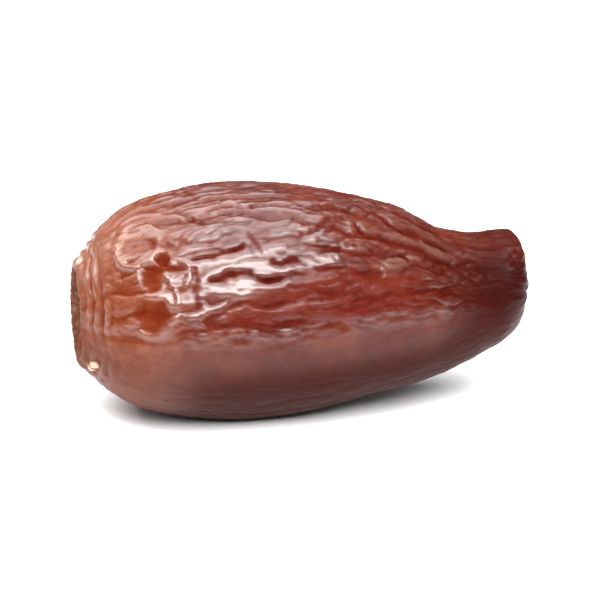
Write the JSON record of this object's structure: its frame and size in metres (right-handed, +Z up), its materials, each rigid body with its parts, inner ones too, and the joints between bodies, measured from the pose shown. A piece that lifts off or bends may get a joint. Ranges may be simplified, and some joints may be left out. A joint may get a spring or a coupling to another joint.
{
  "type": "medjool date",
  "caption": "Plump dried date lying on its side, with long wrinkles, a dished stem scar at one end and a blunt tip at the other.",
  "frame": {"origin": "centre of the bounding box in plan, on the surface that the date lies on", "axes": "+X from the stem end to the tip, +Z up, -Y the side with the named creases"},
  "size_m": [0.0482, 0.026, 0.0245],
  "materials": {
    "skin": "dried fruit skin, dark red-brown, wrinkled, with a soft sticky shine"
  },
  "bodies": {
    "root": {"date": "skin"}
  },
  "joints": []
}
